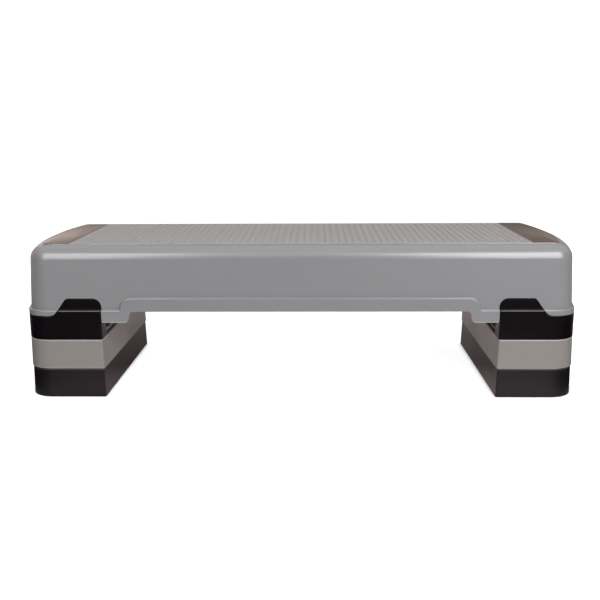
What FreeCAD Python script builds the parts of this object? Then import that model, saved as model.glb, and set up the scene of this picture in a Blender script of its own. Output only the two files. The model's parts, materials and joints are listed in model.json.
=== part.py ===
import FreeCAD, Part
import math
import os

V = FreeCAD.Vector

# Aerobic step platform: a moulded deck on two legs, each leg on a stack of risers.
# Millimetres, +Z up, front towards -Y, origin on the floor under the middle of the deck.

# Plan that the deck's lip, the legs and the risers share
LENGTH = 952.0              # end to end over the crown of the bowed ends
DEPTH = 325.0               # front to back
END_RADIUS = 560.0          # bow of each end
CORNER_RADIUS = 40.0        # outer corners
BLOCK_LENGTH = 146.0        # each leg or riser, from its inner face to the crown of the end

# Legs and risers
BLOCK_RISE = 50.0           # height that each leg or riser adds to the stack
BLOCK_WALL = 4.0
RISER_FLARE = 1.3           # rim of a riser standing out beyond its shoulder
LEG_FLARE = 0.3             # the same on a leg
SHOULDER_PLATE = 4.0        # web between a block's wall and its tenon
SHOULDER_EDGE_RADIUS = 1.6  # outer edge of the shoulder
RIM_EDGE_RADIUS = 0.5       # outer edge of the rim
INNER_CORNER_RADIUS = 2.5   # upright edges of the inner face
RISER_TENON = 8.0           # height of a riser's tenon above its shoulder
LEG_TENON = 50.0            # height of a leg's tenon inside the deck
CHEEK_INSET = 5.0           # lip to the cheeks that fill the deck's notches, in front of the tenon
FIT_GAP = 0.5               # sideways clearance of every tenon in its socket
RIB_GAP = 1.0               # clearance of a block's ribs over the tenon below
BLOCK_RIB = 3.0             # thickness of a block's cross ribs, one behind each window post

# Hand windows through a leg's inner wall
WINDOWS = 3
WINDOW_MARGIN = 28.5        # wall left in front of the first window and behind the last
WINDOW_POST = 11.0          # wall left between two windows
WINDOW_SILL = 3.5           # wall left under a window
WINDOW_RISE = 35.0          # height of a window

# Rubber feet, one in a boss at each corner of every block
RUBBER_RADIUS = 7.0
RUBBER_PROUD = 0.5          # foot standing out of the boss
RUBBER_SUNK = 2.5           # foot inside the boss
RUBBER_FIT = 0.2            # sideways clearance of a foot in its boss
RUBBER_CHAMFER = 0.4
BOSS_WALL = 2.0             # boss around the foot's pocket
BOSS_RISE = 8.0             # height of a boss above the block's rim
BOSS_BITE = 1.2             # depth by which a boss runs into the block's wall

# Deck shell
DECK_RISE = 105.2           # plate of the deck above the shoulder that it stands on
DECK_WALL = 3.5
DECK_PLATE = 4.0
TOP_RADIUS = 22.0           # rounding between wall and plate
DRAFT_DEGREES = 3.3         # lean of the deck's wall
LIP_OUT = 4.0               # lip standing out of the wall
LIP_EDGE_RADIUS = 2.0       # upper edge of the lip
LIP_BAND = 23.0             # height of the lip over the arch and on the feet
LIP_END_RISE = 0.5          # lip line over the ends, above the leg's shoulder
LIP_TURN = 16.3             # from the arch's corner to where the lip line turns down
LIP_CORNER_RADIUS = 1.0     # lip line meeting the foot
DECK_RIB = 3.0
DECK_RIB_DEPTH_STEPS = 4    # cells of the rib lattice from front to back
DECK_RIB_SPAN_STEPS = 8     # cells of the rib lattice between the legs

# Lower edge of the deck, measured from the leg's shoulder
ARCH_DROP = 1.8             # edge between the feet
FOOT_DROP = 20.5            # edge of the feet
END_DROP = 9.0              # edge round the ends
NOTCH_RISE = 19.8           # top of the notch that shows each leg
FOOT_WIDTH = 44.0
FOOT_SLOPE = 3.5            # lean of a foot's side towards the arch
FOOT_GAP = 0.9              # foot to the leg's inner face
NOTCH_WIDTH = 59.5          # along the top of the notch
NOTCH_FLARE = 20.0          # lean of the notch's outer side
ARCH_CORNER_RADIUS = 7.0
FOOT_CORNER_RADIUS = 6.0
FOOT_OUTER_RADIUS = 3.0
NOTCH_INNER_RADIUS = 15.0
NOTCH_OUTER_RADIUS = 10.0
END_CORNER_RADIUS = 16.0
SKIRT_GAP = 1.0             # end skirt to the leg's rabbet, and cheek to the notch

# Plateau raised on the deck's plate, with the tread mat and the end pads in its recess
TREAD_MARGIN = 33.0         # lip to the long edges of the plateau
END_MARGIN = 29.5           # lip to the bowed ends of the plateau
PLATEAU_RISE = 1.2
PLATEAU_CORNER_RADIUS = 10.0
PLATEAU_EDGE_RADIUS = 0.6
SIDE_BORDER = 2.0           # plateau left in front of and behind mat and pads
END_BORDER = 2.0            # plateau left beyond the pads
PAD_LENGTH = 57.9           # each pad, from its straight edge to the crown of its bow
PAD_CORNER_RADIUS = 8.0
PAD_RISE = 1.2              # mat and pads standing out of the plateau
PAD_EDGE = 0.8              # chamfer round the top of a pad
RECESS = 2.4                # depth of the recess that they lie in
RECESS_FIT = 0.3            # clearance round each of them
TREAD_PITCH = 11.8
TREAD_WIDTH = 6.4           # foot of one tread rib
TREAD_HEIGHT = 1.2
TREAD_CREST = 4.4           # top of one tread rib

# Values that follow from the driving dimensions
SEAT_Z = 3 * BLOCK_RISE
PLATE_Z = SEAT_Z + DECK_RISE
DRAFT = math.tan(math.radians(DRAFT_DEGREES))
BLOCK_INNER_X = LENGTH / 2 - BLOCK_LENGTH
RISER_TENON_INSET = BLOCK_WALL + FIT_GAP
LEG_TENON_INSET = LIP_OUT + DECK_WALL + LEG_TENON * DRAFT + FIT_GAP
BOSS_RADIUS = RUBBER_RADIUS + RUBBER_FIT + BOSS_WALL
BOSS_INSET = BLOCK_WALL - BOSS_BITE + BOSS_RADIUS
WINDOW_WIDTH = (DEPTH - 2 * WINDOW_MARGIN - (WINDOWS - 1) * WINDOW_POST) / WINDOWS
WINDOW_STEP = WINDOW_WIDTH + WINDOW_POST
FOOT_OUTER_X = BLOCK_INNER_X - FOOT_GAP
FOOT_INNER_X = FOOT_OUTER_X - FOOT_WIDTH
PLATEAU_Z = PLATE_Z + PLATEAU_RISE
RECESS_Z = PLATEAU_Z - RECESS
PAD_TOP_Z = PLATEAU_Z + PAD_RISE
PAD_INNER_X = LENGTH / 2 - END_MARGIN - END_BORDER - PAD_LENGTH
MAT_HALF_LENGTH = PAD_INNER_X - 2 * RECESS_FIT
MAT_HALF_DEPTH = DEPTH / 2 - TREAD_MARGIN - SIDE_BORDER
BEYOND = 50.0               # how far a cutting body reaches past the platform


def prism(edges, height):
    """Solid standing on a closed run of edges."""
    return Part.Face(Part.Wire(edges)).extrude(V(0, 0, height))


def slab(x0, x1, y0, y1, z0, z1):
    """Box between two opposite corners."""
    return Part.makeBox(x1 - x0, y1 - y0, z1 - z0, V(x0, y0, z0))


def disc(x, y, z, radius, height):
    """Upright cylinder standing at a point."""
    return Part.makeCylinder(radius, height, V(x, y, z))


def arc(centre, radius, start, end, z):
    """Edge of a circle about an upright axis, between two angles in radians."""
    angles = (start, (start + end) / 2, end)
    points = [V(centre[0] + radius * math.cos(a), centre[1] + radius * math.sin(a), z) for a in angles]
    return Part.Arc(*points).toShape()


def line(start, end, z):
    """Straight edge between two plan points."""
    return Part.LineSegment(V(start[0], start[1], z), V(end[0], end[1], z)).toShape()


def bowed_end(tip, side, bow, corner, z):
    """Front corner, bowed end and back corner of a plan that reaches to tip in X and to side in Y."""
    centre_x = tip - bow
    corner_y = side - corner
    corner_x = centre_x + math.sqrt((bow - corner) ** 2 - corner_y ** 2)
    angle = math.asin(corner_y / (bow - corner))
    quarter = math.pi / 2
    front = arc((corner_x, -corner_y), corner, -quarter, -angle, z)
    end = arc((centre_x, 0), bow, -angle, angle, z)
    back = arc((corner_x, corner_y), corner, angle, quarter, z)
    return [front, end, back]


def platform_end(inset, z):
    """Right-hand end of the platform's plan, drawn in from the lip."""
    return bowed_end(LENGTH / 2 - inset, DEPTH / 2 - inset, END_RADIUS - inset, CORNER_RADIUS - inset, z)


def both_ends_plan(right, z):
    """Edges of a plan whose ends are a bowed right-hand end and the same end turned to the left."""
    left = [edge.rotated(V(0, 0, 0), V(0, 0, 1), 180) for edge in right]
    back = line(right[-1].Vertexes[-1].Point, left[0].Vertexes[0].Point, z)
    front = line(left[-1].Vertexes[-1].Point, right[0].Vertexes[0].Point, z)
    return right + [back] + left + [front]


def platform_plan(inset, z):
    """Edges of the whole platform's plan, drawn in from the lip, at one height."""
    return both_ends_plan(platform_end(inset, z), z)


def cut_off_plan(arcs, inner, z):
    """Edges of a plan that runs from a bowed end to a straight inner edge."""
    back = arcs[-1].Vertexes[-1].Point
    front = arcs[0].Vertexes[0].Point
    corners = [back, (inner, back.y), (inner, front.y), front]
    return arcs + [line(a, b, z) for a, b in zip(corners, corners[1:])]


def block_plan(inset, inner_inset, z):
    """Edges of a right-hand block's plan, drawn in from its outer faces and from its inner face."""
    return cut_off_plan(platform_end(inset, z), BLOCK_INNER_X + inner_inset, z)


def rounded_profile(corners):
    """Edges in the plane Y = 0 through (x, z, radius) corners, each rounded by its radius."""
    points = [V(x, 0, z) for x, z, radius in corners]
    edges = []
    start = points[0]
    for before, here, after, corner in zip(points, points[1:], points[2:], corners[1:]):
        radius = corner[2]
        back = (before - here).normalize()
        ahead = (after - here).normalize()
        half = back.getAngle(ahead) / 2
        reach = radius / math.tan(half)
        middle = (back + ahead).normalize() * (radius / math.sin(half) - radius)
        leave = here + back * reach
        join = here + ahead * reach
        edges.append(Part.LineSegment(start, leave).toShape())
        edges.append(Part.Arc(leave, here + middle, join).toShape())
        start = join
    edges.append(Part.LineSegment(start, points[-1]).toShape())
    return edges


def room_under(corners):
    """Everything below a profile given for the right half, mirrored to the left, through the whole depth."""
    left_half = [(-x, z, radius) for x, z, radius in reversed(corners)]
    far = LENGTH / 2 + BEYOND
    edge_z = corners[-1][1]
    edges = rounded_profile([(-far, edge_z, 0.0)] + left_half + corners + [(far, edge_z, 0.0)])
    floor = [V(far, 0, edge_z), V(far, 0, -BEYOND), V(-far, 0, -BEYOND), V(-far, 0, edge_z)]
    edges += [Part.LineSegment(a, b).toShape() for a, b in zip(floor, floor[1:])]
    face = Part.Face(Part.Wire(edges))
    face.translate(V(0, -DEPTH / 2 - BEYOND, 0))
    return face.extrude(V(0, DEPTH + 2 * BEYOND, 0))


def edges_at(shape, z):
    """Edges of a shape that lie flat at one height."""
    return [e for e in shape.Edges if abs(e.BoundBox.ZMin - z) < 1e-3 and abs(e.BoundBox.ZMax - z) < 1e-3]


def upper_rim(shape):
    """Edges round the outside of a filled body, above its base, without those that cross it."""
    base = shape.BoundBox.ZMin
    return [e for e in shape.Edges if e.BoundBox.ZMin > base + 1.0 and e.BoundBox.XLength > 1e-3]


def deck_edge():
    """Lower edge of the deck's right half, from the arch over foot and notch to the end."""
    return [
        (FOOT_INNER_X - FOOT_SLOPE, SEAT_Z - ARCH_DROP, ARCH_CORNER_RADIUS),
        (FOOT_INNER_X, SEAT_Z - FOOT_DROP, FOOT_CORNER_RADIUS),
        (FOOT_OUTER_X, SEAT_Z - FOOT_DROP, FOOT_OUTER_RADIUS),
        (FOOT_OUTER_X, SEAT_Z + NOTCH_RISE, NOTCH_INNER_RADIUS),
        (FOOT_OUTER_X + NOTCH_WIDTH, SEAT_Z + NOTCH_RISE, NOTCH_OUTER_RADIUS),
        (FOOT_OUTER_X + NOTCH_WIDTH + NOTCH_FLARE, SEAT_Z - END_DROP, END_CORNER_RADIUS),
    ]


def lip_line():
    """Upper edge of the lip on the deck's right half."""
    turn_x = FOOT_INNER_X - FOOT_SLOPE + LIP_TURN
    top = SEAT_Z - ARCH_DROP + LIP_BAND
    bottom = SEAT_Z + LIP_END_RISE
    return [
        (turn_x, top, top - bottom - 2 * LIP_CORNER_RADIUS),
        (turn_x, bottom, LIP_CORNER_RADIUS),
    ]


def tapered(inset, z0, z1):
    """Solid between two heights whose wall leans inwards and has this inset at the leg's shoulder."""
    wires = [Part.Wire(platform_plan(inset + (z - SEAT_Z) * DRAFT, z)) for z in (z0, z1)]
    return Part.makeLoft(wires, True, True)


def dome(inset, top, radius):
    """Filled deck body with a rounded top edge, reaching below the deck's feet."""
    body = tapered(inset, SEAT_Z - FOOT_DROP - BEYOND, top)
    return body.makeFillet(radius, edges_at(body, top))


def deck_ribs():
    """Lattice of ribs under the plate, resting on the legs' tenons, and the sockets' inner walls."""
    rib_z = SEAT_Z + LEG_TENON
    top = PLATE_Z - DECK_PLATE / 2
    half = DECK_RIB / 2
    socket = BLOCK_INNER_X - FIT_GAP - half
    over_leg = (BLOCK_INNER_X + LENGTH / 2) / 2
    step = 2 * socket / DECK_RIB_SPAN_STEPS
    across = [-socket + step * i for i in range(1, DECK_RIB_SPAN_STEPS)] + [-over_leg, over_leg]
    along = [DEPTH * (i / DECK_RIB_DEPTH_STEPS - 0.5) for i in range(1, DECK_RIB_DEPTH_STEPS)]
    far = LENGTH / 2
    ribs = [slab(x - half, x + half, -DEPTH / 2, DEPTH / 2, rib_z, top) for x in across]
    ribs += [slab(-far, far, y - half, y + half, rib_z, top) for y in along]
    ribs += [slab(x - half, x + half, -DEPTH / 2, DEPTH / 2, SEAT_Z, top) for x in (-socket, socket)]
    lattice = ribs[0].fuse(ribs[1:])
    return lattice.common(dome(LIP_OUT + DECK_WALL / 2, top, TOP_RADIUS - DECK_WALL / 2))


def mat_plan(clearance, z):
    """Edges of the tread mat's plan, grown by a clearance."""
    x = MAT_HALF_LENGTH + clearance
    y = MAT_HALF_DEPTH + clearance
    corners = [(-x, -y), (x, -y), (x, y), (-x, y), (-x, -y)]
    return [line(a, b, z) for a, b in zip(corners, corners[1:])]


def pad_plan(clearance, z):
    """Edges of the right-hand end pad's plan, grown by a clearance."""
    inset = END_MARGIN + END_BORDER - clearance
    side = MAT_HALF_DEPTH + clearance
    arcs = bowed_end(LENGTH / 2 - inset, side, END_RADIUS - inset, PAD_CORNER_RADIUS + clearance, z)
    return cut_off_plan(arcs, PAD_INNER_X - clearance, z)


def end_pad():
    """Right-hand end pad: a smooth flat sheet with a bowed outer edge."""
    pad = prism(pad_plan(0, RECESS_Z), PAD_TOP_Z - RECESS_Z)
    return pad.makeChamfer(PAD_EDGE, edges_at(pad, PAD_TOP_Z))


def plateau():
    """Raised field on the deck's plate, before the recess is cut."""
    base = PLATE_Z - DECK_PLATE / 2
    side = DEPTH / 2 - TREAD_MARGIN
    right = bowed_end(LENGTH / 2 - END_MARGIN, side, END_RADIUS - END_MARGIN, PLATEAU_CORNER_RADIUS, base)
    field = prism(both_ends_plan(right, base), PLATEAU_Z - base)
    return field.makeFillet(PLATEAU_EDGE_RADIUS, edges_at(field, PLATEAU_Z))


def mirrored(shape):
    """The same shape on the left-hand side."""
    return shape.mirror(V(0, 0, 0), V(1, 0, 0))


def deck_shell():
    """Deck: plate, plateau, leaning wall, lip, arch, feet, notches, recess and ribs in one moulding."""
    outer = dome(LIP_OUT, PLATE_Z, TOP_RADIUS)
    hollow = dome(LIP_OUT + DECK_WALL, PLATE_Z - DECK_PLATE, TOP_RADIUS - DECK_WALL)
    low = SEAT_Z - FOOT_DROP - BEYOND
    lip = prism(platform_plan(0, low), PLATE_Z - low).common(room_under(lip_line()))
    lip = lip.makeFillet(LIP_EDGE_RADIUS, upper_rim(lip))
    shell = outer.fuse(lip).cut(hollow).cut(room_under(deck_edge()))
    shell = shell.fuse(deck_ribs()).fuse(plateau())
    pad_room = prism(pad_plan(RECESS_FIT, RECESS_Z), BEYOND)
    for room in (prism(mat_plan(RECESS_FIT, RECESS_Z), BEYOND), pad_room, mirrored(pad_room)):
        shell = shell.cut(room)
    return shell.removeSplitter()


def tread_mat():
    """Tread mat: a flat sheet with raised ribs across the platform."""
    face = PAD_TOP_Z - TREAD_HEIGHT
    sheet = prism(mat_plan(0, RECESS_Z), face - RECESS_Z)
    count = int((2 * MAT_HALF_LENGTH - TREAD_WIDTH) / TREAD_PITCH)
    first = -count * TREAD_PITCH / 2
    foot = TREAD_WIDTH / 2
    crest = TREAD_CREST / 2
    profile = [(-foot, 0), (foot, 0), (crest, TREAD_HEIGHT), (-crest, TREAD_HEIGHT), (-foot, 0)]
    ribs = []
    for i in range(count + 1):
        x = first + i * TREAD_PITCH
        points = [V(x + dx, -MAT_HALF_DEPTH, face + dz) for dx, dz in profile]
        ribs.append(Part.Face(Part.makePolygon(points)).extrude(V(0, 2 * MAT_HALF_DEPTH, 0)))
    return sheet.fuse(ribs).removeSplitter()


def boss_centres():
    """Plan places of the four feet of a right-hand block."""
    inner_x = BLOCK_INNER_X + BOSS_INSET
    inner_y = DEPTH / 2 - BOSS_INSET
    back_corner = platform_end(BOSS_INSET, 0)[-1]
    outer = back_corner.valueAt((back_corner.FirstParameter + back_corner.LastParameter) / 2)
    return {
        "front_inner": (inner_x, -inner_y),
        "front_outer": (outer.x, -outer.y),
        "back_inner": (inner_x, inner_y),
        "back_outer": (outer.x, outer.y),
    }


def tenon_core(inset, grow, z, height):
    """Filled tenon of a riser, hollowed at the corners to pass the bosses of the block above."""
    core = prism(block_plan(inset, inset, z), height)
    for x, y in boss_centres().values():
        core = core.cut(disc(x, y, z, BOSS_RADIUS + grow, height))
    return core


def block_body(base, flare):
    """Open ring of a block's wall with its bosses and their pockets, without tenon and ribs."""
    rim = base + RUBBER_PROUD
    shoulder = base + BLOCK_RISE
    outlines = ((-flare, rim), (0, shoulder))
    ring = Part.makeLoft([Part.Wire(block_plan(inset, inset, z)) for inset, z in outlines], True, True)
    inner_corners = [
        e for e in ring.Edges
        if e.BoundBox.XMax < BLOCK_INNER_X + 1e-3 and e.BoundBox.ZLength > e.BoundBox.YLength
    ]
    ring = ring.makeFillet(INNER_CORNER_RADIUS, inner_corners)
    ring = ring.makeFillet(RIM_EDGE_RADIUS, edges_at(ring, rim))
    ring = ring.makeFillet(SHOULDER_EDGE_RADIUS, edges_at(ring, shoulder))
    room = prism(block_plan(BLOCK_WALL, BLOCK_WALL, rim), shoulder - SHOULDER_PLATE - rim)
    ring = ring.cut(room)
    pocket = RUBBER_RADIUS + RUBBER_FIT
    for x, y in boss_centres().values():
        ring = ring.fuse(disc(x, y, rim, BOSS_RADIUS, BOSS_RISE))
    for x, y in boss_centres().values():
        ring = ring.cut(disc(x, y, rim, pocket, RUBBER_SUNK))
    return ring


def cross_ribs(base, inset, inner_inset, top):
    """Ribs that join a block's inner wall to its bowed end."""
    low = base + RISER_TENON + RIB_GAP
    shoulder = base + BLOCK_RISE
    half = BLOCK_RIB / 2
    bite = BLOCK_WALL / 2
    web = shoulder - SHOULDER_PLATE
    under = prism(block_plan(bite, bite, low), web + SHOULDER_PLATE / 2 - low)
    above = prism(block_plan(inset + bite, inner_inset + bite, web), top - web)
    room = under.fuse(above)
    first = -DEPTH / 2 + WINDOW_MARGIN - WINDOW_POST / 2
    places = [first + i * WINDOW_STEP for i in range(1, WINDOWS)]
    ribs = [slab(BLOCK_INNER_X, LENGTH / 2, y - half, y + half, low, top) for y in places]
    return ribs[0].fuse(ribs[1:]).common(room)


def riser(base):
    """Right-hand riser: an open ring with a low tenon that locates the block above."""
    shoulder = base + BLOCK_RISE
    top = shoulder + RISER_TENON
    web = shoulder - SHOULDER_PLATE
    tenon = tenon_core(RISER_TENON_INSET, FIT_GAP, web, top - web)
    well = tenon_core(RISER_TENON_INSET + BLOCK_WALL, FIT_GAP + BLOCK_WALL, web, top - web)
    body = block_body(base, RISER_FLARE).fuse(tenon).cut(well)
    body = body.fuse(cross_ribs(base, RISER_TENON_INSET, RISER_TENON_INSET, top))
    return body.removeSplitter()


def room_under_deck():
    """Everything below the deck's lower edge, kept clear of that edge."""
    edge = deck_edge()
    inner_side = [(x + FOOT_GAP, z - SKIRT_GAP, radius) for x, z, radius in edge[:4]]
    outer_side = [(x - SKIRT_GAP, z - SKIRT_GAP, radius) for x, z, radius in edge[4:]]
    return room_under(inner_side + outer_side)


def skirt_room():
    """Space that the deck's end skirt takes out of the right-hand leg's outside."""
    inset = LIP_OUT + DECK_WALL + SKIRT_GAP
    low = SEAT_Z - END_DROP - SKIRT_GAP
    ring = prism(platform_plan(-BEYOND, low), BEYOND).cut(prism(platform_plan(inset, low), BEYOND))
    over_edge = slab(BLOCK_INNER_X + FOOT_GAP, LENGTH, -DEPTH, DEPTH, low, low + BEYOND)
    return ring.common(over_edge.cut(room_under_deck()))


def leg(base):
    """Right-hand leg: a ring with hand windows whose tall tenon and cheeks stand in the deck."""
    shoulder = base + BLOCK_RISE
    top = shoulder + LEG_TENON
    web = shoulder - SHOULDER_PLATE
    inside = LEG_TENON_INSET + BLOCK_WALL
    tenon = prism(block_plan(LEG_TENON_INSET, 0, web), top - web)
    cheeks = prism(block_plan(CHEEK_INSET, 0, web), top - web).common(room_under_deck())
    well = prism(block_plan(inside, BLOCK_WALL, web), top - web)
    body = block_body(base, LEG_FLARE).fuse(tenon).fuse(cheeks).cut(well)
    body = body.fuse(cross_ribs(base, LEG_TENON_INSET, 0, top))
    collar_z = web - END_DROP
    collar = prism(block_plan(BLOCK_WALL, BLOCK_WALL, collar_z), END_DROP)
    collar = collar.cut(prism(block_plan(inside, BLOCK_WALL, collar_z), END_DROP))
    body = body.fuse(collar).cut(skirt_room())
    sill = base + RUBBER_PROUD + WINDOW_SILL
    wall = BLOCK_INNER_X + BLOCK_WALL
    for i in range(WINDOWS):
        y = -DEPTH / 2 + WINDOW_MARGIN + i * WINDOW_STEP
        body = body.cut(slab(BLOCK_INNER_X - BEYOND, wall, y, y + WINDOW_WIDTH, sill, sill + WINDOW_RISE))
    return body.removeSplitter()


def rubber_foot(x, y, base):
    """Rubber foot in its boss."""
    foot = disc(x, y, base, RUBBER_RADIUS, RUBBER_PROUD + RUBBER_SUNK)
    return foot.makeChamfer(RUBBER_CHAMFER, edges_at(foot, base))


def pieces():
    """Every piece by the name of its node."""
    right_side = {"end_pad": end_pad()}
    blocks = {"lower_riser": riser, "middle_riser": riser, "leg": leg}
    for level, (name, make) in enumerate(blocks.items()):
        base = level * BLOCK_RISE
        right_side[name] = make(base)
        for corner, (x, y) in boss_centres().items():
            right_side[f"{name}_{corner}_foot"] = rubber_foot(x, y, base)
    made = {"deck_shell": deck_shell(), "tread_mat": tread_mat()}
    for name, shape in right_side.items():
        made[f"right_{name}"] = shape
        made[f"left_{name}"] = mirrored(shape)
    return made


os.makedirs("parts", exist_ok=True)
for node, shape in pieces().items():
    shape.exportStep(f"parts/{node}.step")
    print(node, len(shape.Solids), shape.isValid(), round(shape.Volume / 1000, 1), "cm3")
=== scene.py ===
import json
import math

import bmesh
import bpy
from mathutils import Matrix, Vector

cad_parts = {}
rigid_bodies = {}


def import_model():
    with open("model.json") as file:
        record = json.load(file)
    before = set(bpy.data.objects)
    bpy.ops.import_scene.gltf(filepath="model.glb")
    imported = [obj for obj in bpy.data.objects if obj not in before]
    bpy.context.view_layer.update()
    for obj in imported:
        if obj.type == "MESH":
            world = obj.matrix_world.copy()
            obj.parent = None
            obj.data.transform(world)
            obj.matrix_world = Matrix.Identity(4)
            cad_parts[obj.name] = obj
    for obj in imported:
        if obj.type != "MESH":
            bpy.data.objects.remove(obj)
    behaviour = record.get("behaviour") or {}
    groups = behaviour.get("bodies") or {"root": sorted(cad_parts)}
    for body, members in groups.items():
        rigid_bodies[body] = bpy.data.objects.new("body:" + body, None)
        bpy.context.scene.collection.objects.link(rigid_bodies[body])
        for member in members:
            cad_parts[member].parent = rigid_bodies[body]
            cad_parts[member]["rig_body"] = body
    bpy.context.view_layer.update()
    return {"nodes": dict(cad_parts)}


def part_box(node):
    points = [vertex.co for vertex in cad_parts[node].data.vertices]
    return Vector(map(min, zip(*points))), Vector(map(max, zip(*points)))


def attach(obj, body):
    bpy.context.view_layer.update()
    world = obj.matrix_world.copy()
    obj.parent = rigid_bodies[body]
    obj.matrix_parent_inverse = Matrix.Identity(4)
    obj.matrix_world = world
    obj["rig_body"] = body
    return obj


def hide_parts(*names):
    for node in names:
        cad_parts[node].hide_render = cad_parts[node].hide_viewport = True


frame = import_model()
nodes = frame["nodes"]


# Rubber feet
# Soft black rubber buttons, pressed into a boss at each corner of every leg and riser.
# Each is moulded with a ring groove in its face, so that it grips the floor or the block below.

FOOT_SIDES = 40
FOOT_EDGE = 0.0004          # rounding of the rim that stands on the floor
FOOT_RIM = 0.0020           # flat ring outside the groove
GROOVE_WIDTH = 0.0012
GROOVE_DEPTH = 0.0007
GROOVE_SIDE = 0.0003        # slope of each side of the groove
FOOT_BLACK = (0.010, 0.010, 0.011, 1.0)
FOOT_WORN = (0.026, 0.025, 0.024, 1.0)
FOOT_PEBBLE = 0.0009        # size of one pebble in the moulded face
PEBBLE_DEPTH = 0.0002
BLOOM_SCALE = 14.0          # clouds of bloom in a metre
BLOOM_RANGE = (0.35, 0.70)  # noise at which the bloom starts and is full
SMOOTH_ANGLE = math.radians(32)


def place(tree, kind, inputs=None, **settings):
    """A node of one kind, with its settings, and its inputs as values or as outputs of other nodes."""
    node = tree.nodes.new(kind)
    for name, value in settings.items():
        setattr(node, name, value)
    for name, value in (inputs or {}).items():
        if isinstance(value, bpy.types.NodeSocket):
            tree.links.new(value, node.inputs[name])
        else:
            node.inputs[name].default_value = value
    return node


def mapped(tree, value, given, wanted):
    """A value that runs from the first to the second wanted value while another runs over a given range."""
    inputs = {"Value": value, "From Min": given[0], "From Max": given[1]}
    inputs.update({"To Min": wanted[0], "To Max": wanted[1]})
    return place(tree, "ShaderNodeMapRange", inputs, clamp=True).outputs["Result"]


def ramp(tree, value, low, high):
    """A value stretched so that low becomes 0 and high becomes 1."""
    return mapped(tree, value, (low, high), (0.0, 1.0))


def combined(tree, operation, first, second):
    """One value worked out from two."""
    return place(tree, "ShaderNodeMath", {0: first, 1: second}, operation=operation).outputs["Value"]


def mixed(tree, share, first, second):
    """A colour between two colours."""
    node = place(tree, "ShaderNodeMix", {"Factor": share}, data_type="RGBA")
    for socket, colour in zip([s for s in node.inputs if s.type == "RGBA"], (first, second)):
        if isinstance(colour, bpy.types.NodeSocket):
            tree.links.new(colour, socket)
        else:
            socket.default_value = colour
    return next(s for s in node.outputs if s.type == "RGBA")


def effect_group(name, inputs, outputs):
    """An empty shader group, with the sockets that give its inputs and take its outputs."""
    group = bpy.data.node_groups.new(name, "ShaderNodeTree")
    for socket, value in inputs.items():
        made = group.interface.new_socket(socket, in_out="INPUT", socket_type="NodeSocketFloat")
        made.default_value = value
    for socket, kind in outputs.items():
        group.interface.new_socket(socket, in_out="OUTPUT", socket_type=kind)
    return group, group.nodes.new("NodeGroupInput").outputs, group.nodes.new("NodeGroupOutput").inputs


def pebbled_rubber():
    """Rounded pebbles of a moulded rubber face, and the cloudy bloom that rubber gets with age."""
    sockets = {"Height": "NodeSocketFloat", "Bloom": "NodeSocketFloat"}
    group, given, result = effect_group("pebbled_rubber", {"Pebble": FOOT_PEBBLE}, sockets)
    place_at = place(group, "ShaderNodeTexCoord").outputs["Object"]
    per_metre = combined(group, "DIVIDE", 1.0, given["Pebble"])
    spread = {"Vector": place_at, "Scale": per_metre}
    cells = place(group, "ShaderNodeTexVoronoi", spread, feature="SMOOTH_F1")
    clouds = place(group, "ShaderNodeTexNoise", {"Vector": place_at, "Scale": BLOOM_SCALE, "Detail": 5.0})
    group.links.new(combined(group, "SUBTRACT", 1.0, cells.outputs["Distance"]), result["Height"])
    group.links.new(ramp(group, clouds.outputs["Fac"], *BLOOM_RANGE), result["Bloom"])
    return group


RUBBER_GROUP = pebbled_rubber()


def rubber(name, colour, bloom, roughness, specular, pebble, relief):
    """A moulded rubber finish: its colour, and the colour and roughness where it has bloomed."""
    material = bpy.data.materials.new(name)
    material.use_nodes = True
    tree = material.node_tree
    shader = tree.nodes["Principled BSDF"]
    effect = place(tree, "ShaderNodeGroup", node_tree=RUBBER_GROUP)
    effect.inputs["Pebble"].default_value = pebble
    cloud = effect.outputs["Bloom"]
    tree.links.new(mixed(tree, cloud, colour, bloom), shader.inputs["Base Color"])
    tree.links.new(mapped(tree, cloud, (0.0, 1.0), roughness), shader.inputs["Roughness"])
    inputs = {"Height": effect.outputs["Height"], "Strength": relief, "Distance": PEBBLE_DEPTH}
    tree.links.new(place(tree, "ShaderNodeBump", inputs).outputs["Normal"], shader.inputs["Normal"])
    shader.inputs["Specular IOR Level"].default_value = specular
    return material


def add_piece(bm, name, node, material):
    """A finished mesh as a piece that rides where a node rides and stands for that node."""
    mesh = bpy.data.meshes.new(name)
    bm.to_mesh(mesh)
    bm.free()
    mesh.shade_smooth()
    mesh.set_sharp_from_angle(angle=SMOOTH_ANGLE)
    mesh.materials.append(material)
    piece = bpy.data.objects.new(name, mesh)
    bpy.context.scene.collection.objects.link(piece)
    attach(piece, nodes[node]["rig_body"])
    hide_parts(node)


def rubber_foot(node, material):
    """One foot: a round button with a ring groove in its lower face."""
    low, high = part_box(node)
    radius = (high.x - low.x) / 2
    bm = bmesh.new()
    bmesh.ops.create_cone(
        bm, cap_ends=True, cap_tris=False, segments=FOOT_SIDES, radius1=radius, radius2=radius,
        depth=high.z - low.z, matrix=Matrix.Translation((low + high) / 2),
    )
    sole = min(bm.faces, key=lambda face: face.calc_center_median().z)
    rim = list(sole.edges)
    steps = ((FOOT_RIM, 0.0), (GROOVE_SIDE, -GROOVE_DEPTH), (GROOVE_WIDTH, 0.0), (GROOVE_SIDE, GROOVE_DEPTH))
    for width, depth in steps:
        bmesh.ops.inset_region(bm, faces=[sole], thickness=width, depth=depth)
    bmesh.ops.bevel(
        bm, geom=rim, offset=FOOT_EDGE, offset_type="OFFSET", segments=3, profile=0.5, material=-1,
        affect="EDGES",
    )
    add_piece(bm, f"{node}_button", node, material)


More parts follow.
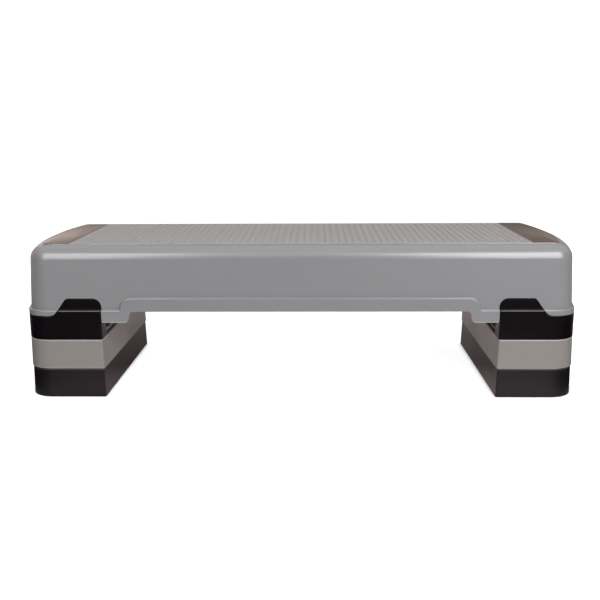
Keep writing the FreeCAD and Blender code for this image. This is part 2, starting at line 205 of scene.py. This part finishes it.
foot_finish = rubber(
    "foot_rubber_finish", FOOT_BLACK, FOOT_WORN,
    roughness=(0.62, 0.78), specular=0.35, pebble=FOOT_PEBBLE, relief=0.5,
)
for node in sorted(nodes):
    if node.endswith("_foot"):
        rubber_foot(node, foot_finish)


# Lower risers
# Black injection-moulded plastic rings that stand on the floor, one under each end of the step.
# The mould leaves a fine spark-eroded grain, and carrying them about rubs the edges and the sides.

SIDES = ("left", "right")
GRAIN = 0.00055             # size of one grain that the mould leaves
GRAIN_DEPTH = 0.0001
FLOW_SCALE = 7.0            # changes of tone in a metre, where the plastic flowed
FLOW_RANGE = (0.30, 0.70)   # noise at which the other tone starts and is full
STREAK_SCALE = (18, 60, 420)        # rub marks in a metre, which are long and thin
STREAK_TURN = (0.3, 0.2, 0.5)
STREAK_RANGE = (0.62, 0.80)         # noise at which a mark starts and is full
PATCH_SCALE = 11.0          # patches in a metre, some of which have rub marks
PATCH_RANGE = (0.58, 0.80)
EDGE_ROUNDING = 0.0008      # softness of a moulded edge
EDGE_TURN = (0.99, 0.85)    # cosine of the turn of the surface at which an edge starts and is full
EDGE_WEAR = 0.6             # how far an edge goes towards the rubbed colour
RUB_DULLS = 0.08            # roughness that a rub mark adds
LOWER_BLACK = (0.0076, 0.0057, 0.0086, 1.0)
LOWER_RUBBED = (0.023, 0.019, 0.021, 1.0)
# Painted highlight on the lower riser's rounded shoulder edge
LOWER_SHOULDER_HIGHLIGHT = (0.036, 0.032, 0.035, 1.0)
LOWER_SHOULDER_HIGHLIGHT_AT = (-0.0041, -0.0031)  # from the ring above; a painted highlight from the shoulder edge up, over the tenon


def moulded_face():
    """Grain of the mould, slow changes of tone where the plastic flowed, and rub marks from handling."""
    sockets = {"Height": "NodeSocketFloat", "Flow": "NodeSocketFloat", "Rub": "NodeSocketFloat"}
    group, given, result = effect_group("moulded_face", {"Grain": GRAIN}, sockets)
    place_at = place(group, "ShaderNodeTexCoord").outputs["Object"]
    per_metre = combined(group, "DIVIDE", 1.0, given["Grain"])
    grain = place(group, "ShaderNodeTexNoise", {"Vector": place_at, "Scale": per_metre, "Detail": 2.0})
    slow = {"Vector": place_at, "Scale": FLOW_SCALE, "Detail": 4.0, "Distortion": 0.6}
    flow = place(group, "ShaderNodeTexNoise", slow)
    turned = {"Vector": place_at, "Rotation": STREAK_TURN, "Scale": STREAK_SCALE}
    streaked = place(group, "ShaderNodeMapping", turned).outputs["Vector"]
    streaks = place(group, "ShaderNodeTexNoise", {"Vector": streaked, "Scale": 1.0, "Detail": 3.0})
    patches = place(group, "ShaderNodeTexNoise", {"Vector": place_at, "Scale": PATCH_SCALE, "Detail": 2.0})
    lines = ramp(group, streaks.outputs["Fac"], *STREAK_RANGE)
    rub = combined(group, "MULTIPLY", lines, ramp(group, patches.outputs["Fac"], *PATCH_RANGE))
    group.links.new(grain.outputs["Fac"], result["Height"])
    group.links.new(ramp(group, flow.outputs["Fac"], *FLOW_RANGE), result["Flow"])
    group.links.new(rub, result["Rub"])
    return group


def soft_edges():
    """The small rounding of a moulded edge, and a mask of where it lies."""
    sockets = {"Normal": "NodeSocketVector", "Edge": "NodeSocketFloat"}
    group, given, result = effect_group("soft_edges", {"Rounding": EDGE_ROUNDING}, sockets)
    rounded = place(group, "ShaderNodeBevel", {"Radius": given["Rounding"]}, samples=6).outputs["Normal"]
    flat = place(group, "ShaderNodeNewGeometry").outputs["Normal"]
    turn = place(group, "ShaderNodeVectorMath", {0: rounded, 1: flat}, operation="DOT_PRODUCT")
    group.links.new(rounded, result["Normal"])
    group.links.new(ramp(group, turn.outputs["Value"], *EDGE_TURN), result["Edge"])
    return group


FACE_GROUP = moulded_face()
EDGE_GROUP = soft_edges()


def plastic(name, colour, flow, rubbed, roughness, specular, relief):
    """A moulded plastic finish: its colour, the colour where it flowed, and the colour where it is rubbed."""
    material = bpy.data.materials.new(name)
    material.use_nodes = True
    tree = material.node_tree
    shader = tree.nodes["Principled BSDF"]
    face = place(tree, "ShaderNodeGroup", node_tree=FACE_GROUP).outputs
    edge = place(tree, "ShaderNodeGroup", node_tree=EDGE_GROUP).outputs
    worn = combined(tree, "MAXIMUM", face["Rub"], combined(tree, "MULTIPLY", edge["Edge"], EDGE_WEAR))
    body = mixed(tree, face["Flow"], colour, flow)
    tree.links.new(mixed(tree, worn, body, rubbed), shader.inputs["Base Color"])
    spread = mapped(tree, face["Flow"], (0.0, 1.0), roughness)
    dulled = combined(tree, "ADD", spread, combined(tree, "MULTIPLY", face["Rub"], RUB_DULLS))
    tree.links.new(dulled, shader.inputs["Roughness"])
    inputs = {"Height": face["Height"], "Strength": relief, "Distance": GRAIN_DEPTH, "Normal": edge["Normal"]}
    tree.links.new(place(tree, "ShaderNodeBump", inputs).outputs["Normal"], shader.inputs["Normal"])
    shader.inputs["Specular IOR Level"].default_value = specular
    return material


def tone_by_height(material, level, offsets, colour):
    """Mixes another colour into a finish: none at the first offset from a level, all at the second."""
    tree = material.node_tree
    socket = tree.nodes["Principled BSDF"].inputs["Base Color"]
    body = socket.links[0].from_socket
    place_at = place(tree, "ShaderNodeTexCoord").outputs["Object"]
    height = place(tree, "ShaderNodeSeparateXYZ", {"Vector": place_at}).outputs["Z"]
    share = ramp(tree, height, *(level + offset for offset in offsets))
    tree.links.new(mixed(tree, share, body, colour), socket)


def dress(node, material):
    """Gives a CAD piece its finish."""
    for slot in nodes[node].material_slots:
        slot.material = material


lower_finish = plastic(
    "lower_riser_finish", LOWER_BLACK, LOWER_BLACK, LOWER_RUBBED,
    roughness=(0.30, 0.36), specular=0.35, relief=0.20,
)
middle_bottom_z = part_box("left_middle_riser")[0].z
# Painted highlight: the riser's top, from just under its shoulder edge up, is lightened as if its rounding
# caught the light.
tone_by_height(lower_finish, middle_bottom_z, LOWER_SHOULDER_HIGHLIGHT_AT, LOWER_SHOULDER_HIGHLIGHT)
for side in SIDES:
    dress(f"{side}_lower_riser", lower_finish)


# Middle risers
# Warm grey rings from the same mould as the lower ones, put in or taken out to set the height.
# Each locates on the low tenon of the ring below it.

MIDDLE_GREY = (0.255, 0.236, 0.222, 1.0)
MIDDLE_FLOW = (0.247, 0.228, 0.215, 1.0)
MIDDLE_RUBBED = (0.310, 0.295, 0.280, 1.0)
# Painted highlight on the middle riser's top edge
MIDDLE_TOP_HIGHLIGHT = (0.420, 0.400, 0.382, 1.0)
MIDDLE_TOP_HIGHLIGHT_AT = (-0.0027, -0.0013)     # from the leg above; a painted highlight on the rounded shoulder edge and the tenon
# Painted highlight on the middle riser's bottom rim
MIDDLE_RIM_HIGHLIGHT = (0.340, 0.325, 0.310, 1.0)
MIDDLE_RIM_HIGHLIGHT_AT = (0.0018, 0.0005)    # from its own lower edge; a painted highlight along the bottom rim

middle_finish = plastic(
    "middle_riser_finish", MIDDLE_GREY, MIDDLE_FLOW, MIDDLE_RUBBED,
    roughness=(0.32, 0.38), specular=0.40, relief=0.20,
)
leg_bottom_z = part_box("left_leg")[0].z
# Painted highlight: a light line along the riser's top edge, just under the leg.
tone_by_height(middle_finish, leg_bottom_z, MIDDLE_TOP_HIGHLIGHT_AT, MIDDLE_TOP_HIGHLIGHT)
# Painted highlight: a light line along the riser's bottom rim.
tone_by_height(middle_finish, middle_bottom_z, MIDDLE_RIM_HIGHLIGHT_AT, MIDDLE_RIM_HIGHLIGHT)
for side in SIDES:
    dress(f"{side}_middle_riser", middle_finish)


# Legs
# Deep black plastic blocks whose tall tenons stand inside the deck, with hand windows in the inner wall.
# Their fronts show in the notches of the deck.

LEG_TENON = 0.050           # height of the tenon above the shoulder
LEG_BLACK = (0.0038, 0.0025, 0.0038, 1.0)
LEG_RUBBED = (0.015, 0.013, 0.014, 1.0)
# Painted highlight on the leg's shoulder edge
LEG_LEDGE_HIGHLIGHT = (0.100, 0.095, 0.095, 1.0)
LEG_LEDGE_HIGHLIGHT_FROM = (-0.0016, -0.0010)      # from the shoulder, where its painted highlight starts
LEG_LEDGE_HIGHLIGHT_TO = (-0.0002, 0.0)            # from the shoulder, where its painted highlight ends

leg_finish = plastic(
    "leg_finish", LEG_BLACK, LEG_BLACK, LEG_RUBBED, roughness=(0.24, 0.30), specular=0.26, relief=0.15,
)
shoulder_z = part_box("left_leg")[1].z - LEG_TENON
# Painted highlight: a thin light line along the shoulder edge, which shows in the deck's notches.
tone_by_height(leg_finish, shoulder_z, LEG_LEDGE_HIGHLIGHT_FROM, LEG_LEDGE_HIGHLIGHT)
tone_by_height(leg_finish, shoulder_z, LEG_LEDGE_HIGHLIGHT_TO, LEG_BLACK)
for side in SIDES:
    dress(f"{side}_leg", leg_finish)


# Deck shell
# One large grey moulding: satin wall with a broad rounding to the top, a lip, an arch and four short feet.
# Ribs under the plate carry the load to the legs.

DECK_GREY = (0.255, 0.255, 0.262, 1.0)
DECK_FLOW = (0.247, 0.247, 0.255, 1.0)
DECK_RUBBED = (0.290, 0.290, 0.295, 1.0)
# Painted highlight along the lower edge of the deck's feet
DECK_FOOT_HIGHLIGHT = (0.400, 0.395, 0.390, 1.0)
DECK_FOOT_HIGHLIGHT_AT = (0.0023, 0.0007)     # from the lower edge of the deck's feet; a painted highlight along that edge

deck_finish = plastic(
    "deck_finish", DECK_GREY, DECK_FLOW, DECK_RUBBED,
    roughness=(0.22, 0.26), specular=0.50, relief=0.10,
)
# Painted highlight: a light line along the lower edge of the deck's feet.
tone_by_height(deck_finish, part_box("deck_shell")[0].z, DECK_FOOT_HIGHLIGHT_AT, DECK_FOOT_HIGHLIGHT)
dress("deck_shell", deck_finish)


# Tread mat
# A grey rubber sheet in the recess of the deck's plateau, with raised bars that stop feet from sliding.
# The bars run from front to back, and a narrow flat border ties their ends together.

TREAD_PITCH = 0.0118
TREAD_BAR = 0.0080          # foot of one bar
TREAD_SLOPE = 0.0019        # lean of a bar's sides
TREAD_HEIGHT = 0.0012
TREAD_BORDER = 0.0016
TREAD_EDGE = 0.0009         # rounding of the border's outer edge
BAR_EDGE = 0.0005           # rounding of a bar's crest
TREAD_GREY = (0.369, 0.350, 0.351, 1.0)
TREAD_BLOOM = (0.393, 0.374, 0.374, 1.0)
TREAD_GROOVE_SHADE = (0.356, 0.338, 0.339, 1.0)   # painted shade on the floor between the bars, so the bars stand out lighter
TREAD_PEBBLE = 0.0011
FACES_UP = 0.9              # least upward part of a level face's normal
SAME_HEIGHT = 1e-5
SAME_PLACE = 1e-6


def level_faces(bm, z):
    """The faces of a mesh that look up from one height."""
    upward = [face for face in bm.faces if face.normal.z > FACES_UP]
    return [face for face in upward if abs(face.calc_center_median().z - z) < SAME_HEIGHT]


def tread_mat(material):
    """The sheet with its border, and bars raised from the floor between."""
    low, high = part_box("tread_mat")
    size = high - low
    bm = bmesh.new()
    whole = Matrix.Translation((low + high) / 2) @ Matrix.Diagonal((*size, 1.0))
    bmesh.ops.create_cube(bm, size=1.0, matrix=whole)
    top = max(bm.faces, key=lambda face: face.calc_center_median().z)
    outline = list(top.edges)
    bmesh.ops.inset_region(bm, faces=[top], thickness=TREAD_BORDER)
    bmesh.ops.inset_region(bm, faces=[top], thickness=TREAD_SLOPE, depth=-TREAD_HEIGHT)
    floor_z = high.z - TREAD_HEIGHT
    span = size.x - 2 * (TREAD_BORDER + TREAD_SLOPE)
    count = int((span - TREAD_BAR) / TREAD_PITCH)
    bars = [(i - count / 2) * TREAD_PITCH for i in range(count + 1)]
    for x in bars:
        for cut in (x - TREAD_BAR / 2, x + TREAD_BAR / 2):
            floor = level_faces(bm, floor_z)
            edges = dict.fromkeys(edge for face in floor for edge in face.edges)
            verts = dict.fromkeys(vert for face in floor for vert in face.verts)
            bmesh.ops.bisect_plane(
                bm, geom=[*verts, *edges, *floor], dist=SAME_PLACE, plane_co=(cut, 0, 0), plane_no=(1, 0, 0),
            )
    crests = []
    for face in level_faces(bm, floor_z):
        centre = face.calc_center_median()
        if min(abs(centre.x - x) for x in bars) < TREAD_BAR / 4:
            crests.append(face)
    bmesh.ops.inset_individual(bm, faces=crests, thickness=TREAD_SLOPE, depth=TREAD_HEIGHT)
    ridges = dict.fromkeys(edge for face in crests for edge in face.edges)
    bmesh.ops.bevel(
        bm, geom=list(ridges), offset=BAR_EDGE, offset_type="OFFSET", segments=2, profile=0.5, material=-1,
        affect="EDGES",
    )
    bmesh.ops.bevel(
        bm, geom=[edge for edge in outline if edge.is_valid], offset=TREAD_EDGE, offset_type="OFFSET",
        segments=3, profile=0.5, material=-1, affect="EDGES",
    )
    add_piece(bm, "tread_sheet", "tread_mat", material)


tread_finish = rubber(
    "tread_finish", TREAD_GREY, TREAD_BLOOM,
    roughness=(0.60, 0.70), specular=0.12, pebble=TREAD_PEBBLE, relief=0.35,
)
# Painted shade: the floor between the bars is darker than their crests.
tone_by_height(tread_finish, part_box("tread_mat")[1].z, (0.0, -TREAD_HEIGHT), TREAD_GROOVE_SHADE)
tread_mat(tread_finish)


# End pads
# Smooth dark rubber pads that close the tread at both ends, cut to the bow of the deck.
# They lie in the same recess as the tread and stand a little proud of the plateau.

PAD_BOW = 0.5285            # radius of the outer edge
PAD_BOW_STEPS = 48
PAD_CORNER = 0.008
PAD_EDGE = 0.0010           # rounding round the top
PAD_BLACK = (0.094, 0.062, 0.046, 1.0)
PAD_BLOOM = (0.121, 0.084, 0.066, 1.0)
PAD_PEBBLE = 0.0007


def end_pad(node, material):
    """A flat sheet with a bowed outer edge, rounded corners and a rounded top edge."""
    low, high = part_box(node)
    outward = math.copysign(1.0, low.x + high.x)
    crown = high.x if outward > 0 else low.x
    inner = low.x if outward > 0 else high.x
    half_depth = high.y
    centre = Vector((crown - outward * PAD_BOW, 0, low.z))
    turn = math.asin(half_depth / PAD_BOW)
    bm = bmesh.new()
    reach = Matrix.Rotation(-turn * outward, 3, "Z") @ Vector((outward * PAD_BOW, 0, 0))
    start = bm.verts.new(centre + reach)
    bmesh.ops.spin(
        bm, geom=[start], cent=centre, axis=(0, 0, 1), angle=2 * turn * outward, steps=PAD_BOW_STEPS,
    )
    ends = [bm.verts.new((inner, y, low.z)) for y in (half_depth, -half_depth)]
    bow = sorted((v for v in bm.verts if v not in ends), key=lambda v: v.co.y)
    sheet = bm.faces.new(bow + ends)
    if sheet.normal.z < 0:
        sheet.normal_flip()
    tips = [bow[0], bow[-1]]
    bmesh.ops.bevel(
        bm, geom=tips, offset=PAD_CORNER, offset_type="OFFSET", segments=8, profile=0.5, material=-1,
        affect="VERTICES",
    )
    raised = bmesh.ops.extrude_face_region(bm, geom=list(bm.faces))
    lifted = [v for v in raised["geom"] if isinstance(v, bmesh.types.BMVert)]
    bmesh.ops.translate(bm, verts=lifted, vec=(0, 0, high.z - low.z))
    bmesh.ops.recalc_face_normals(bm, faces=list(bm.faces))
    top = max(bm.faces, key=lambda face: face.calc_center_median().z)
    bmesh.ops.bevel(
        bm, geom=list(top.edges), offset=PAD_EDGE, offset_type="OFFSET", segments=4, profile=0.5, material=-1,
        affect="EDGES",
    )
    add_piece(bm, f"{node}_sheet", node, material)


pad_finish = rubber(
    "end_pad_finish", PAD_BLACK, PAD_BLOOM,
    roughness=(0.12, 0.18), specular=0.50, pebble=PAD_PEBBLE, relief=0.05,
)
for side in SIDES:
    end_pad(f"{side}_end_pad", pad_finish)


# Table
# A white studio table in two halves. Each goes with the stack on it, so a stack pulled apart still stands.
# It is pure white away from the step, with a painted shadow under it, and shows as soft bands in the gloss of
# the step.

WHITE = (1.0, 1.0, 1.0, 1.0)
BLACK = (0.0, 0.0, 0.0, 1.0)
TABLE_SIZE = (3.2, 2.6)
TABLE_FRONT = -0.52         # edge of the table nearest the camera
TABLE_WHITE = (0.80, 0.80, 0.80, 1.0)
TABLE_GLOW = (0.84, 1.0)    # how bright the camera sees it under the step, dimmed there as a painted shadow, and well away from it
TABLE_GLOW_REACH = (0.45, 0.95)             # distances from the step's middle of these two
TABLE_GLOW_STRETCH = (1.0, 1.4, 1.0)        # the painted shadow is longer along the step than across it
CONTACT = 0.008             # reach of the shadow where something stands on the table
TABLE_SHINE = (             # how bright shiny faces see it, from its front to well behind the step
    (-0.56, 0.08), (-0.21, 0.80), (-0.13, 0.45), (-0.06, 0.38), (0.02, 0.17), (0.16, 0.25), (0.22, 0.27),
    (0.32, 0.36), (0.42, 0.58),
)
TABLE_SHINE_ENDS = (0.50, 0.42)     # where that starts and is full, beside the step's ends
TABLE_SHINE_BACK = (0.0, 0.2)       # where the part of it beyond these ends starts and is full
TABLE_SHINE_BEHIND = 0.5            # strength of that part
TABLE_SHINE_SPAN = (-0.45, 0.45)    # from the step's left end to its right end
TABLE_SHINE_TURN = (0.86, 1.22)     # dimmer at the left end, brighter at the right
TABLE_SHINE_TINT = (1.0, 0.80, 0.79, 1.0)


def stepped(tree, along, stops):
    """A value that follows stops, each a place and the value there."""
    first, last = stops[0][0], stops[-1][0]
    node = place(tree, "ShaderNodeValToRGB", {"Fac": ramp(tree, along, first, last)})
    marks = node.color_ramp.elements
    for at, _ in stops[1:-1]:
        marks.new((at - first) / (last - first))
    for mark, (_, value) in zip(marks, stops):
        mark.color = (value, value, value, 1.0)
    return node.outputs["Color"]


def size_of(tree, value):
    """A value without its sign."""
    return place(tree, "ShaderNodeMath", {0: value}, operation="ABSOLUTE").outputs["Value"]


def table_glow(tree, place_at):
    """What the camera sees: white, with painted shadow under the step and where something stands."""
    stretched = place(tree, "ShaderNodeMapping", {"Vector": place_at, "Scale": TABLE_GLOW_STRETCH})
    away = place(tree, "ShaderNodeVectorMath", {0: stretched.outputs["Vector"]}, operation="LENGTH")
    glow = mapped(tree, away.outputs["Value"], TABLE_GLOW_REACH, TABLE_GLOW)
    open_sky = place(tree, "ShaderNodeAmbientOcclusion", {"Distance": CONTACT}, samples=16).outputs["AO"]
    return combined(tree, "MULTIPLY", glow, open_sky)


def table_shine(tree, place_at):
    """What shiny faces see: bands along the step, and the mask of the part between the step's ends."""
    spot = place(tree, "ShaderNodeSeparateXYZ", {"Vector": place_at}).outputs
    middle = ramp(tree, size_of(tree, spot["X"]), *TABLE_SHINE_ENDS)
    behind = mapped(tree, spot["Y"], TABLE_SHINE_BACK, (0.0, TABLE_SHINE_BEHIND))
    lit = combined(tree, "MAXIMUM", middle, behind)
    shine = combined(tree, "MULTIPLY", stepped(tree, spot["Y"], TABLE_SHINE), lit)
    turn = mapped(tree, spot["X"], TABLE_SHINE_SPAN, TABLE_SHINE_TURN)
    return combined(tree, "MULTIPLY", shine, turn), middle


def white_table():
    """The table's finish."""
    material = bpy.data.materials.new("table_white")
    material.use_nodes = True
    tree = material.node_tree
    shader = tree.nodes["Principled BSDF"]
    shader.inputs["Roughness"].default_value = 0.9
    shader.inputs["Specular IOR Level"].default_value = 0.0
    place_at = place(tree, "ShaderNodeTexCoord").outputs["Object"]
    rays = place(tree, "ShaderNodeLightPath").outputs
    shine, middle = table_shine(tree, place_at)
    shown = combined(tree, "MULTIPLY", table_glow(tree, place_at), rays["Is Camera Ray"])
    in_gloss = combined(tree, "MULTIPLY", shine, rays["Is Glossy Ray"])
    tree.links.new(combined(tree, "ADD", shown, in_gloss), shader.inputs["Emission Strength"])
    tinted = combined(tree, "MULTIPLY", rays["Is Glossy Ray"], middle)
    tree.links.new(mixed(tree, tinted, WHITE, TABLE_SHINE_TINT), shader.inputs["Emission Color"])
    tree.links.new(mixed(tree, rays["Is Glossy Ray"], TABLE_WHITE, BLACK), shader.inputs["Base Color"])
    return material


def table_half(side, centre, material):
    """One half of the table, which goes with the stack on it."""
    bm = bmesh.new()
    middle = Matrix.Translation((centre, TABLE_FRONT + TABLE_SIZE[1] / 2, 0))
    size = Matrix.Diagonal((TABLE_SIZE[0] / 2, TABLE_SIZE[1], 1, 1))
    bmesh.ops.create_grid(bm, x_segments=1, y_segments=1, size=0.5, matrix=middle @ size)
    mesh = bpy.data.meshes.new(f"{side}_table")
    bm.to_mesh(mesh)
    bm.free()
    mesh.materials.append(material)
    table = bpy.data.objects.new(f"{side}_table", mesh)
    bpy.context.scene.collection.objects.link(table)
    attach(table, nodes[f"{side}_lower_riser"]["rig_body"])


table_finish = white_table()
table_half("left", -TABLE_SIZE[0] / 4, table_finish)
table_half("right", TABLE_SIZE[0] / 4, table_finish)


# Sweep and room
# A warm paper sweep behind the step, a pale ceiling and a dim room, which show in the gloss of the step.
# The camera sees only white, and matt faces get a soft fill. A place on them is a part of a direction:
# X to the right, Y away from the camera and Z up.

BACKDROP = 1.1              # white behind everything, a little above pure white to hide the table's edge
SWEEP = ((-0.38, 1.15), (-0.26, 0.55), (0.20, 0.25), (0.34, 0.48))     # brightness from its left to its right
SWEEP_TOP = (0.50, 0.25)    # Z at which it starts and is full
SWEEP_FRONT = (-0.1, 0.3)   # Y at which it starts and is full
SWEEP_FOOT = (0.115, 0.140)
SWEEP_FALL = (0.7, 1.0)     # dimmer close to the table, over the Z of its foot
SWEEP_TINT = (1.0, 0.84, 0.75, 1.0)
ROOM = 0.06
CEILING = 1.3
CEILING_EDGE = (0.35, 0.65)         # Z between which the room turns into the ceiling
CEILING_TINT = (1.0, 0.95, 0.92, 1.0)
FILL = (0.116, 0.016)       # light that the room gives to matt faces from the middle and from the sides
FILL_SIDES = (0.4, 0.9)     # X, to either side, at which it starts to fall and has fallen


def studio_world():
    """White for the camera, the sweep, ceiling and room for gloss, and the fill for the rest."""
    world = bpy.data.worlds.new("studio")
    world.use_nodes = True
    tree = world.node_tree
    background = tree.nodes["Background"]
    direction = place(tree, "ShaderNodeTexCoord").outputs["Generated"]
    towards = place(tree, "ShaderNodeSeparateXYZ", {"Vector": direction}).outputs
    low = ramp(tree, towards["Z"], *SWEEP_TOP)
    behind = combined(tree, "MULTIPLY", ramp(tree, towards["Y"], *SWEEP_FRONT), low)
    behind = combined(tree, "MULTIPLY", behind, mapped(tree, towards["Z"], SWEEP_FOOT, SWEEP_FALL))
    sweep = combined(tree, "MULTIPLY", behind, stepped(tree, towards["X"], SWEEP))
    ceiling = mapped(tree, towards["Z"], CEILING_EDGE, (ROOM, CEILING))
    shine = combined(tree, "MAXIMUM", sweep, ceiling)
    fill = mapped(tree, size_of(tree, towards["X"]), FILL_SIDES, FILL)
    rays = place(tree, "ShaderNodeLightPath").outputs
    given = mapped(tree, rays["Is Glossy Ray"], (0.0, 1.0), (fill, shine))
    backdrop = combined(tree, "MULTIPLY", rays["Is Camera Ray"], BACKDROP)
    tree.links.new(combined(tree, "MAXIMUM", backdrop, given), background.inputs["Strength"])
    tint = mixed(tree, behind, CEILING_TINT, SWEEP_TINT)
    tree.links.new(mixed(tree, rays["Is Glossy Ray"], WHITE, tint), background.inputs["Color"])
    bpy.context.scene.world = world


studio_world()


# Lamps
# A broad softbox to the right of the camera, a narrower one to its left, and a large one above the step.
# A lamp behind opens the shadows of the step's back, and a faint glow on the table those under its arch.

AIM = Vector((0.0, -0.10, 0.18))    # what the softboxes look at
FRONT_BOXES = (             # side, place, size, watts of its light, watts of the face that shows in gloss
    ("right", (1.125, -1.90, 1.27), (1.37, 1.67), 46.2, 66),
    ("left", (-1.00, -1.90, 1.27), (0.70, 1.67), 18.8, 27),
)
LIGHT_SET_BACK = 1.02       # the light stands this much further off than the face
UNDER = (0.0, -0.09, 0.003)
UNDER_SIZE = (0.60, 0.12)


def softbox(name, at, size, watts, aim=AIM):
    """A rectangular soft light that looks at the step."""
    light = bpy.data.lights.new(name, "AREA")
    light.shape = "RECTANGLE"
    light.size, light.size_y = size
    light.energy = watts
    lamp = bpy.data.objects.new(name, light)
    lamp.location = at
    lamp.rotation_euler = (aim - Vector(at)).to_track_quat("-Z", "Y").to_euler()
    lamp.visible_camera = False
    bpy.context.scene.collection.objects.link(lamp)
    return lamp


for side, at, size, light, face in FRONT_BOXES:
    softbox(f"softbox_{side}_face", at, size, face).visible_diffuse = False
    softbox(f"softbox_{side}", Vector(at) * LIGHT_SET_BACK, size, light).visible_glossy = False
above = softbox("softbox_above", at=(0.0, 0.1, 2.5), size=(2.0, 1.5), watts=16)
backlight = softbox("softbox_behind", at=(0.0, 2.0, 0.7), size=(2.4, 0.8), watts=14)
overhead = Vector(UNDER) + Vector((0, 0, 1))
underlight = softbox("table_light", at=UNDER, size=UNDER_SIZE, watts=0.16, aim=overhead)
for lamp in (above, backlight, underlight):
    lamp.visible_glossy = False


# Camera
# It stands 1.4 m before the middle of the step, 0.45 m above the table and a little to the right.
# Its place and turn were fitted to the joint lines, the blocks' edges and the deck's lip.

CAMERA_AT = (0.0302, -1.4023, 0.4524)
CAMERA_YAW = -0.0232        # turned from straight ahead, towards +X
CAMERA_PITCH = 0.2253       # tipped down
CAMERA_ROLL = -0.0062
CAMERA_LENS = 46.45         # millimetres, on a sensor 36 mm wide
CAMERA_SENSOR = 36.0

camera_data = bpy.data.cameras.new("camera")
camera_data.sensor_width = CAMERA_SENSOR
camera_data.lens = CAMERA_LENS
camera = bpy.data.objects.new("camera", camera_data)
turned = Matrix.Rotation(-CAMERA_YAW, 4, "Z") @ Matrix.Rotation(math.pi / 2 - CAMERA_PITCH, 4, "X")
camera.matrix_world = Matrix.Translation(CAMERA_AT) @ turned @ Matrix.Rotation(CAMERA_ROLL, 4, "Z")
bpy.context.scene.collection.objects.link(camera)
bpy.context.scene.camera = camera
bpy.context.scene.view_settings.view_transform = "Standard"
